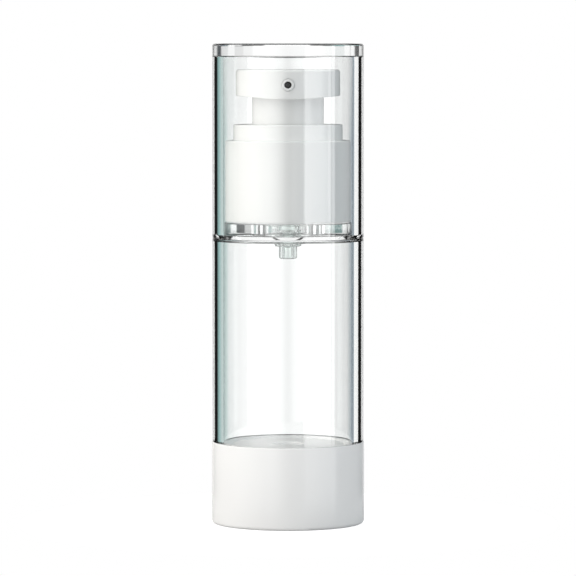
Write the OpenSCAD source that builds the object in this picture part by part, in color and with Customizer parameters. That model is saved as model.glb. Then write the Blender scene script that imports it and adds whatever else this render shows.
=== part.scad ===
// Airless pump bottle of about 30 ml, with a clear overcap and a push-down head.
// The origin is the centre of the base's underside, +Z is up and the nozzle points to -Y.
// A follower under the product rises as the pump draws it off, so no air gets in.

/* [Barrel] */
// Outer diameter of the clear barrel and of the overcap
body_d = 33.7; // [33:0.1:37]
// Wall of the clear barrel
body_wall = 2.4; // [2.1:0.1:2.8]
// Height of the shoulder that the overcap's rim stands on
shoulder_z = 63.7; // [50:0.5:100]
// Height of the clear land that centres the overcap
land_h = 3.6; // [3:0.1:6]
// Radius of the fillet between the land and the shoulder
land_foot_r = 0.7; // [0.5:0.1:0.9]
// Depth of the deck's underside below the shoulder
deck_drop = 0.45; // [0.4:0.05:0.8]
// Thickness of the deck that carries the pump
deck_t = 1.2; // [0.9:0.1:1.8]
// Radius of the chamber's upper corner
chamber_corner_r = 0.25; // [0.2:0.05:0.6]

/* [Overcap] */
// Wall of the overcap
cap_wall = 2.35; // [2:0.05:2.6]
// Thickness of the overcap's ceiling at its edge
cap_top_t = 2.7; // [1.5:0.1:4]
// Room between the head and the ceiling's edge
cap_headroom = 3; // [1.5:0.1:8]
// How far the middle of the ceiling's underside hangs lower than its edge
ceiling_sag = 0.5; // [0.2:0.1:0.8]
// Radius of the overcap's upper edge
cap_edge_r = 0.6; // [0.3:0.1:1.2]

/* [Collar] */
// Height of the white collar sleeve
collar_h = 18.2; // [18:0.1:20]
// Step from the clear land in to the collar sleeve
collar_inset = 0.25; // [0.1:0.05:0.5]
// Step from the collar sleeve in to the guide ring
ring_step = 1.8; // [1.6:0.05:2]
// Height of the guide ring above the collar sleeve
ring_h = 3.5; // [2.5:0.1:5]
// Wall of the collar sleeve
sleeve_wall = 1.25; // [1:0.05:1.4]
// Wall of the closure inside the sleeve
closure_wall = 1.2; // [1:0.05:1.4]

/* [Head] */
// Diameter of the actuator's head
head_d = 23.2; // [21:0.1:26]
// Height of the actuator's head at its sides
head_h = 5.8; // [5.6:0.1:8]
// Wall of the head
head_wall = 1.2; // [0.9:0.1:1.6]
// How far the head's lower edge bows down at the front and the back
head_bow = 0.7; // [0.2:0.1:1]
// Outer diameter of the skirt that slides in the guide ring
skirt_d = 16; // [15.6:0.1:16.4]
// Wall of the skirt
skirt_wall = 0.9; // [0.7:0.1:1.2]
// Travel of the head
stroke = 5; // [4:0.1:5.4]
// Gap left between the head's sides and the guide ring at full stroke
press_gap = 1.4; // [1.2:0.1:3]
// Depth of the nozzle's axis below the head's top
nozzle_drop = 3.4; // [3.2:0.1:3.6]
// Outer diameter of the nozzle insert
nozzle_d = 2.6; // [2.2:0.1:2.8]
// Diameter of the nozzle's mouth
nozzle_hole_d = 1.5; // [0.8:0.1:1.7]

/* [Pump] */
// Bore of the pump housing
pump_bore_d = 7.8; // [7.6:0.1:8]
// Wall of the pump housing
pump_wall = 1.05; // [0.9:0.05:1.2]
// Outer diameter of the stem
stem_d = 4; // [3.8:0.1:4.2]
// Bore of the stem
stem_bore_d = 2; // [1.6:0.1:2.2]
// Travel of the stem that opens the piston's valve before the piston moves
lost_motion = 0.7; // [0.4:0.1:0.9]
// Outer diameter of the housing's spigot in the deck
spigot_d = 5.9; // [5.6:0.1:6.2]
// Length of the spigot below the deck
spigot_drop = 1.4; // [0.8:0.05:1.6]
// Length of the housing's narrow waist above the deck
waist_h = 2.15; // [1.6:0.05:2.4]
// Outer diameter of the inlet tube
inlet_d = 4; // [3.6:0.1:4.4]
// Bore of the inlet tube
inlet_bore_d = 2; // [1.4:0.1:2.1]
// Length of the inlet tube below the spigot
inlet_l = 2.75; // [1.5:0.05:4]
// Diameter of the inlet valve's ball
ball_d = 3; // [3:0.1:3.2]
// Lift of the inlet valve's ball
ball_lift = 0.7; // [0.4:0.1:0.8]

/* [Return spring] */
// Diameter of the spring's wire
wire_d = 0.75; // [0.6:0.05:0.8]
// Mean diameter of the spring's coil
coil_d = 8; // [7.8:0.1:9]
// Turns of the spring
coil_turns = 6.5; // [5:0.5:7.5]

/* [Follower] */
// Height of the follower piston
follower_h = 10; // [7.5:0.1:13]
// Thickness of the follower's crown and walls
follower_t = 1.3; // [1:0.1:1.8]
// Depth of the groove behind each sealing lip
lip_h = 1.6; // [1:0.1:2.2]
// Ribs under the follower's crown
follower_ribs = 6; // [3:1:12]

/* [Base] */
// Height of the base cup
base_h = 18.3; // [16:0.1:24]
// How far the base cup stands out past the barrel
base_proud = 0.15; // [0:0.05:0.5]
// Wall of the base cup
base_wall = 1.2; // [1:0.05:1.3]
// Thickness of the base cup's floor
base_floor_t = 1.4; // [1:0.1:2.2]
// Depth of the recess under the base cup
foot_recess = 0.8; // [0.3:0.1:1.5]
// Width of the ring that the bottle stands on
foot_w = 3.2; // [2:0.1:5]
// Radius of the base cup's lower edge
base_edge_r = 0.8; // [0.3:0.1:1.2]
// Diameter of the vent in the base cup's floor
vent_d = 5; // [4.6:0.1:7]

/* [Fits] */
// Radial gap between the overcap and the land
cap_clearance = 0.3; // [0.15:0.05:0.5]
// Radial gap between the skirt and the guide ring
guide_clearance = 0.3; // [0.2:0.05:0.4]
// Radial gap of pieces that slide on each other
slide_clearance = 0.05; // [0.02:0.01:0.08]
// Radial gap of pieces that are pushed together
push_clearance = 0.02; // [0.01:0.01:0.05]
// Gap where a moving piece ends just short of another
end_clearance = 0.3; // [0.2:0.05:0.4]

/* [Hidden] */

round_facets = 96;
arc_facets = 48;
wide_arc_facets = 256;
spill = 0.1;

// Small edge rounds and lead-in chamfers
fine_edge_r = 0.25;
edge_r = 0.3;
lead_in = 0.4;
cap_lead_in = land_foot_r + 0.1;
sleeve_edge_r = 0.4;
sleeve_foot_r = 0.9;
inlet_edge_r = 0.45;
nozzle_edge_r = 0.2;
body_foot_chamfer = 0.5;

// Radii of the barrel, the overcap and the collar
body_r = body_d / 2;
bore_r = body_r - body_wall;
cap_bore_r = body_r - cap_wall;
land_r = cap_bore_r - cap_clearance;
collar_r = land_r - collar_inset;
sleeve_bore_r = collar_r - sleeve_wall;
closure_r = sleeve_bore_r - slide_clearance;
ring_r = collar_r - ring_step;

// Heights of the barrel's top and the collar
deck_z = shoulder_z - deck_drop;
deck_top_z = deck_z + deck_t;
land_top_z = shoulder_z + land_h;
collar_top_z = land_top_z + collar_h;
ring_top_z = collar_top_z + ring_h;
ring_plate_t = 1.2;
lip_plate_t = 1;
shelf_depth = 4;
shelf_t = 1.1;
shelf_top_z = collar_top_z - shelf_depth;
flange_top_z = shelf_top_z - shelf_t;
flange_t = 1.1;
pilot_l = 1.2;
gasket_t = 0.7;
gasket_z = flange_top_z - flange_t - gasket_t;
neck_top_z = gasket_z;
closure_foot_z = land_top_z + end_clearance;

// The neck and its snap bead
skirt_r = skirt_d / 2;
guide_r = skirt_r + guide_clearance;
guide_wall = 1;
bead_clearance = 0.15;
bead_h = 0.45;
bead_l = 1.5;
bead_drop = 1.6;
bead_top_z = neck_top_z - bead_drop;
bead_z = bead_top_z - bead_l;
bead_r = guide_r - bead_clearance;
neck_r = bead_r - bead_h;
hook_l = 1.5;
hook_r = neck_r + bead_clearance;
hook_z = bead_z - bead_clearance - hook_l;
pump_bore_r = pump_bore_d / 2;
housing_r = pump_bore_r + pump_wall;
neck_clearance = 0.25;
neck_bore_r = housing_r + neck_clearance;
flange_r = neck_r - end_clearance;
gasket_r = flange_r;

// The actuator
head_r = head_d / 2;
head_z = ring_top_z + stroke + press_gap;
head_top_z = head_z + head_h;
head_top_t = 1.2;
head_edge_r = 0.7;
skirt_gap = 0.5;
boss_margin = 0.5;
bow_r = (pow(head_r, 2) + pow(head_bow, 2)) / (2 * head_bow);
skirt_z = shelf_top_z + stroke + skirt_gap;
nozzle_z = head_top_z - nozzle_drop;
nozzle_proud = 0.3;
nozzle_l = 3.2;
nozzle_face_l = 1.2;
nozzle_bore_r = 0.5;
nozzle_r = nozzle_d / 2;
channel_r = 0.8;
channel_wall = 0.9;

// The pump, from its stem guide down to its inlet
stem_r = stem_d / 2;
stem_bore_r = stem_bore_d / 2;
chaplet_flange_r = 4.7;
chaplet_flange_t = 1.2;
chaplet_plug_l = 2.4;
tower_r = 3.1;
tower_h = 2.4;
spring_seat_z = flange_top_z + chaplet_flange_t;
tower_top_z = spring_seat_z + tower_h;
chaplet_z = flange_top_z - chaplet_plug_l;
shelf_clearance = 0.2;
shelf_hole_r = chaplet_flange_r + shelf_clearance;
boss_r = 3.1;
boss_step = 0.6;
boss_l = 4.5;
boss_step_z = head_z + boss_step;
boss_z = boss_step_z - boss_l;
boss_wide_r = coil_d / 2 + wire_d / 2 + boss_margin;
stem_top_z = nozzle_z - channel_r - end_clearance;
stem_collar_w = 0.6;
stem_collar_r = stem_r + stem_collar_w;
stem_collar_t = 0.5;
stem_collar_gap = 0.2;
stem_collar_z = chaplet_z - stem_collar_gap - stem_collar_t;
spigot_r = spigot_d / 2;
spigot_z = deck_z - spigot_drop;
inlet_r = inlet_d / 2;
inlet_bore_r = inlet_bore_d / 2;
inlet_z = spigot_z - inlet_l;
housing_foot_z = deck_top_z + waist_h;
barrel_floor_t = 0.8;

// The inlet valve: the ball rests on a 45 degree seat, and a notched lip stops its rise
ball_r = ball_d / 2;
ball_gap = 0.03;
ball_z = spigot_z - inlet_bore_r + ball_r * sqrt(2) + ball_gap;
cage_r = ball_r + end_clearance;
cage_z = spigot_z + cage_r - inlet_bore_r;
cage_lip_inset = 0.15;
cage_lip_r = ball_r - cage_lip_inset;
cage_lip_z = ball_z + ball_lift + sqrt(pow(ball_r, 2) - pow(cage_lip_r, 2)) + ball_gap;
cage_lip_t = 0.5;
cage_notch = 0.8;
throat_low_z = cage_lip_z + cage_lip_t;
throat_h = 0.75;
throat_r = cage_lip_r + throat_h;
pump_floor_z = max(throat_low_z + throat_h, housing_foot_z + barrel_floor_t);

// The poppet and the piston that it opens
poppet_r = 2.9;
poppet_rim_h = 0.4;
poppet_z = pump_floor_z + end_clearance + stroke;
poppet_top_z = poppet_z + poppet_rim_h + poppet_r - stem_r;
plug_h = 3;
plug_web = 0.6;
port_r = 0.5;
port_gap = 0.2;
port_z = poppet_top_z + port_r + port_gap;
sleeve_z = poppet_top_z + slide_clearance;
sleeve_top_z = stem_collar_z - lost_motion - slide_clearance;
piston_r = pump_bore_r - slide_clearance;
piston_wall = 0.6;
piston_lip = 0.25;
piston_lip_h = 0.8;
piston_overhang = 0.7;
piston_z = sleeve_z - piston_overhang;
piston_top_z = sleeve_top_z + piston_overhang;
piston_web_t = 1;
piston_web_z = (piston_z + piston_top_z - piston_web_t) / 2;
piston_sleeve_t = 0.75;

// The follower and its way up
follower_r = bore_r - slide_clearance;
lip_t = 0.6;
crown_drop = 0.35;
follower_drop = 0.05;
follower_top_z = base_h - follower_drop;
follower_z = follower_top_z - follower_h;
recess_clearance = 0.55;
recess_r = spigot_r + recess_clearance;
recess_depth = spigot_drop + inlet_l + end_clearance;
rib_t = 0.9;
rib_h = 2.5;
follower_travel = deck_z - chamber_corner_r - slide_clearance - follower_top_z;

// The base cup and the barrel's foot in it
base_r = body_r + base_proud;
base_bore_r = base_r - base_wall;
base_clearance = 0.1;
body_foot_r = base_bore_r - base_clearance;
base_floor_z = foot_recess + base_floor_t;
body_foot_z = base_floor_z + end_clearance;
stop_wall = 1;
stop_inset = 0.65;
stop_r = bore_r - stop_inset;
snap_r = 0.35;
snap_drop = 6;
snap_z = base_h - snap_drop;
foot_r = base_r - base_edge_r;

cap_top_z = head_top_z + cap_headroom + cap_top_t;
ceiling_z = cap_top_z - cap_top_t;
sag_r = (pow(cap_bore_r, 2) + pow(ceiling_sag, 2)) / (2 * ceiling_sag);

// A half section's rectangle between two radii and two heights
module band(r_in, r_out, z_low, z_high) {
    translate([r_in, z_low]) square([r_out - r_in, z_high - z_low]);
}

// What a round takes off a half section's corner.
// side is 1 on an outer edge and -1 on an inner one, end is 1 at a top and -1 at a bottom.
module rounding(r, z, size, side, end) {
    difference() {
        translate([side > 0 ? r - size : r - spill, end > 0 ? z - size : z - spill]) square(size + spill);
        translate([r - side * size, z - end * size]) circle(size, $fn = arc_facets);
    }
}

// What a fillet adds in a half section's hollow corner, towards side and end
module fillet(r, z, size, side, end) {
    difference() {
        translate([side > 0 ? r - spill : r - size, end > 0 ? z - spill : z - size]) square(size + spill);
        translate([r + side * size, z + end * size]) circle(size, $fn = arc_facets);
    }
}

// A half section's 45 degree chamfer, as the triangle that it takes off
module chamfer(r, z, size, side, end) {
    polygon([
        [r + side * spill, z - end * (size + spill)],
        [r + side * spill, z + end * spill],
        [r - side * (size + spill), z + end * spill]
    ]);
}

module lathe() {
    rotate_extrude($fn = round_facets) children();
}

// The clear overcap: a tube with a thick ceiling whose underside hangs a little
module overcap() {
    color("azure", 0.3) lathe() difference() {
        union() {
            band(cap_bore_r, body_r, shoulder_z, cap_top_z);
            band(0, cap_bore_r + spill, ceiling_z, cap_top_z);
            intersection() {
                translate([0, ceiling_z - ceiling_sag + sag_r]) circle(sag_r, $fn = wide_arc_facets);
                band(0, cap_bore_r + spill, ceiling_z - ceiling_sag - spill, ceiling_z + spill);
            }
        }
        rounding(body_r, cap_top_z, cap_edge_r, 1, 1);
        rounding(body_r, shoulder_z, fine_edge_r, 1, -1);
        chamfer(cap_bore_r, shoulder_z, cap_lead_in, -1, -1);
    }
}

// The push-down head: an open shell, its guide skirt, the socket for the stem and the channel
module actuator() {
    color("white") difference() {
        union() {
            intersection() {
                lathe() difference() {
                    band(0, head_r, head_z - head_bow, head_top_z);
                    band(0, head_r - head_wall, head_z - head_bow - spill, head_top_z - head_top_t);
                    rounding(head_r, head_top_z, head_edge_r, 1, 1);
                }
                translate([0, head_r + spill, head_z - head_bow + bow_r]) rotate([90, 0, 0])
                    cylinder(r = bow_r, h = head_d + 2 * spill, $fn = wide_arc_facets);
            }
            lathe() {
                difference() {
                    band(skirt_r - skirt_wall, skirt_r, skirt_z, head_top_z - head_top_t + spill);
                    rounding(skirt_r, skirt_z, edge_r, 1, -1);
                }
                band(0, boss_r, boss_z, boss_step_z + spill);
                band(0, boss_wide_r, boss_step_z, head_top_z - head_top_t + spill);
            }
            translate([0, 0, nozzle_z]) rotate([90, 0, 0])
                cylinder(r = channel_r + channel_wall, h = head_r - head_wall / 2, $fn = round_facets);
        }
        lathe() {
            band(0, stem_r + push_clearance, boss_z - spill, stem_top_z + push_clearance);
            band(0, stem_bore_r, stem_top_z, nozzle_z + channel_r);
        }
        translate([0, 0, nozzle_z]) rotate([90, 0, 0])
            cylinder(r = channel_r, h = head_r + spill, $fn = round_facets);
        translate([0, nozzle_l - head_r - nozzle_proud, nozzle_z]) rotate([90, 0, 0])
            cylinder(r = nozzle_r + push_clearance, h = nozzle_l + spill, $fn = round_facets);
    }
}

// The small insert that gives the nozzle its mouth, a little proud of the head
module nozzle_insert() {
    color("whitesmoke") translate([0, nozzle_l - head_r - nozzle_proud - push_clearance, nozzle_z])
        rotate([90, 0, 0]) lathe() difference() {
            band(nozzle_bore_r, nozzle_r, 0, nozzle_l);
            band(0, nozzle_hole_d / 2, nozzle_l - nozzle_face_l, nozzle_l + spill);
            rounding(nozzle_r, nozzle_l, nozzle_edge_r, 1, 1);
        }
}

// The hollow stem, with a collar that pushes the piston and ports just above the poppet
module stem() {
    color("gainsboro") difference() {
        lathe() {
            band(stem_bore_r, stem_r, poppet_top_z, stem_top_z);
            band(stem_bore_r, stem_collar_r, stem_collar_z, stem_collar_z + stem_collar_t);
        }
        for (turn = [0, 90])
            translate([0, 0, port_z]) rotate([90, 0, turn])
                cylinder(r = port_r, h = stem_d + 2 * spill, center = true, $fn = round_facets);
    }
}

// The foot of the stem: a cone that shuts the piston's sleeve, and a plug that liquid passes
module poppet() {
    color("lightsteelblue") {
        lathe() {
            band(0, poppet_r, poppet_z, poppet_z + poppet_rim_h);
            polygon([
                [0, poppet_z + poppet_rim_h - spill],
                [poppet_r, poppet_z + poppet_rim_h - spill],
                [poppet_r, poppet_z + poppet_rim_h],
                [stem_r, poppet_top_z],
                [0, poppet_top_z]
            ]);
        }
        intersection() {
            translate([0, 0, poppet_top_z - spill])
                cylinder(r = stem_bore_r - slide_clearance, h = plug_h + spill, $fn = round_facets);
            union() {
                for (turn = [45, 135])
                    rotate(turn) translate([-stem_r, -plug_web / 2, poppet_top_z - spill])
                        cube([stem_d, plug_web, plug_h + spill]);
            }
        }
    }
}

// The pump's piston: a sleeve on the stem and a double-lipped skirt in the housing
module pump_piston() {
    color("ivory") lathe() {
        difference() {
            band(stem_r + slide_clearance, stem_r + piston_sleeve_t, sleeve_z, sleeve_top_z);
            chamfer(stem_r + piston_sleeve_t, sleeve_z, edge_r, 1, -1);
        }
        band(stem_r + slide_clearance, piston_r - piston_lip, piston_web_z, piston_web_z + piston_web_t);
        band(piston_r - piston_wall, piston_r - piston_lip, piston_z, piston_top_z);
        band(piston_r - piston_wall, piston_r, piston_z, piston_z + piston_lip_h);
        band(piston_r - piston_wall, piston_r, piston_top_z - piston_lip_h, piston_top_z);
    }
}

// The spring's centre line. Its pitch eases off towards both ends, as closed ends do.
coil_low_z = spring_seat_z + wire_d / 2 + slide_clearance;
coil_span = boss_step_z - wire_d / 2 - slide_clearance - coil_low_z;
coil_ease = 0.4;
coil_rings = 8 * coil_turns;
wire_sides = 6;

function coil_point(i) =
    let (part = i / coil_rings, angle = 360 * coil_turns * part)
    [
        coil_d / 2 * cos(angle),
        coil_d / 2 * sin(angle),
        coil_low_z + coil_span * (part - coil_ease * sin(360 * part) / (2 * PI))
    ];

function coil_way(i) =
    let (step = coil_point(min(i + 1, coil_rings)) - coil_point(max(i - 1, 0)))
    step / norm(step);

function wire_ring(i) =
    let (
        centre = coil_point(i),
        outward = [centre[0], centre[1], 0] / (coil_d / 2),
        across = cross(coil_way(i), outward)
    )
    [
        for (side = [0 : wire_sides - 1])
            let (angle = 360 * side / wire_sides)
            centre + wire_d / 2 * (cos(angle) * outward + sin(angle) * across / norm(across))
    ];

coil_points = [for (i = [0 : coil_rings]) coil_point(i)];
coil_gap = min([
    for (i = [0 : coil_rings - 5], j = [i + 5 : coil_rings]) norm(coil_points[i] - coil_points[j]) - wire_d
]);

// The return spring, outside the product's path, as one unbroken tube
module return_spring() {
    count = coil_rings + 1;
    points = [for (i = [0 : coil_rings]) each wire_ring(i)];
    walls = [
        for (i = [0 : coil_rings - 1], side = [0 : wire_sides - 1])
            let (
                a = i * wire_sides + side,
                b = i * wire_sides + (side + 1) % wire_sides
            )
            each [[a, b, b + wire_sides], [a, b + wire_sides, a + wire_sides]]
    ];
    low_end = [for (side = [1 : wire_sides - 2]) [0, side + 1, side]];
    first = (count - 1) * wire_sides;
    high_end = [for (side = [1 : wire_sides - 2]) [first, first + side, first + side + 1]];
    color("silver") polyhedron(points, concat(walls, low_end, high_end));
}

// The stem guide: a plug in the housing's mouth, the spring's seat and a short tower
module chaplet() {
    color("ghostwhite") lathe() difference() {
        union() {
            band(0, pump_bore_r - push_clearance, chaplet_z, flange_top_z + spill);
            band(0, chaplet_flange_r, flange_top_z, spring_seat_z);
            band(0, tower_r, flange_top_z, tower_top_z);
        }
        band(0, stem_r + slide_clearance, chaplet_z - spill, tower_top_z + spill);
        chamfer(tower_r, tower_top_z, lead_in, 1, 1);
    }
}

// The closure: it snaps under the neck's bead, its shelf holds the pump down,
// and its upper ring guides the skirt and shows above the collar sleeve
module closure() {
    tube_r = guide_r + guide_wall;
    wall_r = ring_r - closure_wall;
    color("white") lathe() difference() {
        union() {
            band(guide_r, tube_r, hook_z, ring_top_z);
            band(hook_r, guide_r + spill, hook_z, hook_z + hook_l);
            band(shelf_hole_r, guide_r + spill, flange_top_z, shelf_top_z);
            band(guide_r, ring_r, ring_top_z - ring_plate_t, ring_top_z);
            band(wall_r, ring_r, closure_foot_z, ring_top_z);
            band(wall_r, closure_r, closure_foot_z, collar_top_z - lip_plate_t - slide_clearance);
        }
        rounding(ring_r, ring_top_z, edge_r, 1, 1);
        chamfer(hook_r, hook_z, edge_r, -1, -1);
    }
}

// The white outer sleeve, held on the closure's shoulder by its inturned lip
module collar_sleeve() {
    color("white") lathe() difference() {
        union() {
            band(sleeve_bore_r, collar_r, land_top_z, collar_top_z);
            band(ring_r + slide_clearance, sleeve_bore_r + spill, collar_top_z - lip_plate_t, collar_top_z);
        }
        rounding(collar_r, collar_top_z, sleeve_edge_r, 1, 1);
        rounding(collar_r, land_top_z, sleeve_foot_r, 1, -1);
    }
}

// The pump housing: flange, barrel, ball cage, spigot and inlet tube in one moulding
module pump_housing() {
    color("aliceblue") difference() {
        lathe() difference() {
            union() {
                band(0, flange_r, flange_top_z - flange_t, flange_top_z);
                band(0, neck_bore_r - slide_clearance, neck_top_z - pilot_l, flange_top_z);
                band(0, housing_r, housing_foot_z, flange_top_z);
                band(0, spigot_r, spigot_z, housing_foot_z + spill);
                band(0, inlet_r, inlet_z, spigot_z + spill);
            }
            band(0, pump_bore_r, pump_floor_z, flange_top_z + spill);
            band(0, inlet_bore_r, inlet_z - spill, spigot_z + spill);
            polygon([
                [0, spigot_z - spill],
                [inlet_bore_r - spill, spigot_z - spill],
                [cage_r, cage_z],
                [cage_r, cage_lip_z],
                [cage_lip_r, cage_lip_z],
                [cage_lip_r, throat_low_z],
                [throat_r, throat_low_z + throat_h],
                [throat_r, pump_floor_z + spill],
                [0, pump_floor_z + spill]
            ]);
            rounding(inlet_r, inlet_z, inlet_edge_r, 1, -1);
            rounding(spigot_r, spigot_z, edge_r, 1, -1);
        }
        for (turn = [90, 210, 330])
            rotate(turn) translate([0, -cage_notch / 2, cage_lip_z - spill])
                cube([cage_r, cage_notch, cage_lip_t + 2 * spill]);
    }
}

module inlet_ball() {
    color("lightcyan") translate([0, 0, ball_z]) sphere(ball_r, $fn = round_facets);
}

// The soft ring between the neck and the housing's flange
module neck_gasket() {
    color("linen") lathe() band(neck_bore_r, gasket_r, gasket_z, gasket_z + gasket_t);
}

// The clear barrel, its foot in the base cup, the deck, the land and the neck
module bottle_body() {
    color("azure", 0.3) lathe() difference() {
        union() {
            band(bore_r, body_foot_r, body_foot_z, base_h + spill);
            band(bore_r, body_r, base_h, shoulder_z);
            band(0, body_r - spill, deck_z, shoulder_z);
            band(0, land_r, shoulder_z - spill, land_top_z);
            band(0, neck_r, land_top_z - spill, neck_top_z);
            band(neck_r - spill, bead_r, bead_z, bead_top_z);
            fillet(bore_r, deck_z, chamber_corner_r, -1, -1);
            fillet(land_r, shoulder_z, land_foot_r, 1, 1);
        }
        band(0, neck_bore_r, deck_top_z, neck_top_z + spill);
        band(0, spigot_r + base_clearance, deck_z - spill, deck_top_z + spill);
        translate([base_bore_r, snap_z]) circle(snap_r + base_clearance, $fn = arc_facets);
        chamfer(bore_r, body_foot_z, body_foot_chamfer, -1, -1);
        chamfer(bead_r, bead_top_z, bead_h - spill, 1, 1);
        rounding(body_r, shoulder_z, fine_edge_r, 1, 1);
        rounding(land_r, land_top_z, fine_edge_r, 1, 1);
    }
}

// The follower: two sealing lips, a flat crown with a well for the inlet, and ribs below
module follower_piston() {
    wall_r = follower_r - lip_t;
    inner_r = wall_r - follower_t;
    rim_r = inner_r - follower_t;
    crown_z = follower_top_z - crown_drop;
    groove_z = crown_z - lip_h;
    well_floor_z = follower_top_z - recess_depth;
    color("white") {
        lathe() difference() {
            union() {
                band(0, inner_r, crown_z - follower_t, crown_z);
                band(rim_r, inner_r, groove_z - follower_t, crown_z);
                band(rim_r, follower_r, groove_z - follower_t, groove_z);
                band(wall_r, follower_r, groove_z - spill, follower_top_z);
                band(inner_r, wall_r, follower_z, groove_z);
                band(inner_r, follower_r, follower_z, follower_z + lip_h);
                band(0, recess_r + follower_t, well_floor_z - follower_t, crown_z);
            }
            band(0, recess_r, well_floor_z, follower_top_z + spill);
            rounding(recess_r, crown_z, edge_r, -1, 1);
            chamfer(follower_r, follower_z, lead_in, 1, -1);
        }
        for (rib = [0 : follower_ribs - 1])
            rotate(rib * 360 / follower_ribs)
                translate([recess_r + follower_t - spill, -rib_t / 2, crown_z - follower_t - rib_h])
                    cube([rim_r - recess_r - follower_t + 2 * spill, rib_t, rib_h + spill]);
    }
}

// The white base cup, with the follower's stop ring, a snap bead and a vent
module base_cup() {
    color("white") lathe() difference() {
        union() {
            band(0, base_r, 0, base_floor_z);
            band(base_bore_r, base_r, 0, base_h);
            band(stop_r - stop_wall, stop_r, base_floor_z - spill, follower_z);
            intersection() {
                translate([base_bore_r, snap_z]) circle(snap_r, $fn = arc_facets);
                band(0, base_bore_r + spill, snap_z - snap_r - spill, snap_z + snap_r + spill);
            }
        }
        band(0, foot_r - foot_w, -spill, foot_recess);
        band(0, vent_d / 2, -spill, base_floor_z + spill);
        rounding(base_r, 0, base_edge_r, 1, -1);
        rounding(base_r, base_h, edge_r, 1, 1);
    }
}

echo(chamber_ml = PI * pow(bore_r / 10, 2) * (deck_z - follower_top_z) / 10);
echo(dose_ml = PI * pow(pump_bore_r / 10, 2) * (stroke - lost_motion) / 10);
echo(coil_gap = coil_gap);
echo(follower_travel = follower_travel);

overcap();
actuator();
nozzle_insert();
stem();
poppet();
pump_piston();
return_spring();
chaplet();
closure();
collar_sleeve();
pump_housing();
inlet_ball();
neck_gasket();
bottle_body();
follower_piston();
base_cup();
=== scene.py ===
"""Looks of the airless pump bottle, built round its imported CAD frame.

Sizes are in millimetres. A lathed profile is a half section: radius, height and the corner's own radius.
It runs with the material on its left, so that its normals point out of the plastic.
"""

import math

import bmesh
import bpy
from mathutils import Matrix, Vector


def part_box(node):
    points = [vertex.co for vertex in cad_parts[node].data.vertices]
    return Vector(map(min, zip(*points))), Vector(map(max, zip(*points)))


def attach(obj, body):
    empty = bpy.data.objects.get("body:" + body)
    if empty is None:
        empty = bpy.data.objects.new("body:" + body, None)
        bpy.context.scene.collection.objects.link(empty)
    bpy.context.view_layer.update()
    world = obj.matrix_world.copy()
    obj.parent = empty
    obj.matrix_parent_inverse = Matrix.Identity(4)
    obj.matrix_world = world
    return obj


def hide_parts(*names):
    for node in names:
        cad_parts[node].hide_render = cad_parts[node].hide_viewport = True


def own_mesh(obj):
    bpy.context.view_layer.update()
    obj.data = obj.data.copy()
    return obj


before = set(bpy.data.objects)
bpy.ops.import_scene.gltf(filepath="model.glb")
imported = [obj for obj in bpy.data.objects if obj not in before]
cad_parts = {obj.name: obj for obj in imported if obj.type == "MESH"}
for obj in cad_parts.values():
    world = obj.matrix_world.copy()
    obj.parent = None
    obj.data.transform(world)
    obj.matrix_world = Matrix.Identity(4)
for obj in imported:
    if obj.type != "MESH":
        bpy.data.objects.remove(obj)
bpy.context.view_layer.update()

MM = 0.001
SECTORS = 256
ON_AXIS = 1e-6
# A corner that states no radius gets this one, and no round takes more than this share of a run
CORNER_R = 0.06
CORNER_SHARE = 0.45
ARC_STEPS = 5
BEAD_STEPS = 8
# Corners that turn less than the first angle aren't rounded, and sharp ones under the second shade smooth
LEVEL_TURN = math.radians(12)
SMOOTH_TURN = math.radians(30)


# Mesh helpers
def extent(node):
    """Outer radius, lowest and highest point of a CAD node at rest."""
    low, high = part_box(node)
    return [round(value / MM, 3) for value in (high.x, low.z, high.z)]


def section(corners, closed):
    """Rounds a half section's corners. Each point comes with the normals of the runs before and after it."""
    points = []
    for i, corner in enumerate(corners):
        here = Vector(corner[:2])
        radius = corner[2] if len(corner) > 2 else CORNER_R
        after = Vector(corners[(i + 1) % len(corners)][:2]) - here
        before = here - Vector(corners[i - 1][:2])
        first = not closed and i == 0
        last = not closed and i == len(corners) - 1
        if first:
            before = after
        if last:
            after = before
        n_before = Vector((before.y, -before.x)).normalized()
        n_after = Vector((after.y, -after.x)).normalized()
        turn = n_before.angle(n_after)
        if first or last or turn < LEVEL_TURN or radius <= 0:
            if turn < SMOOTH_TURN:
                n_before = n_after = (n_before + n_after).normalized()
            points.append((here, n_before, n_after))
            continue
        cut = min(radius * math.tan(turn / 2), CORNER_SHARE * min(before.length, after.length))
        radius = cut / math.tan(turn / 2)
        side = 1 if before.x * after.y - before.y * after.x > 0 else -1
        centre = here - before.normalized() * cut - side * radius * n_before
        start = math.atan2(n_before.y, n_before.x)
        for k in range(ARC_STEPS + 1):
            angle = start + side * turn * k / ARC_STEPS
            normal = Vector((math.cos(angle), math.sin(angle)))
            points.append((centre + side * radius * normal, normal, normal))
    return points


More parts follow.
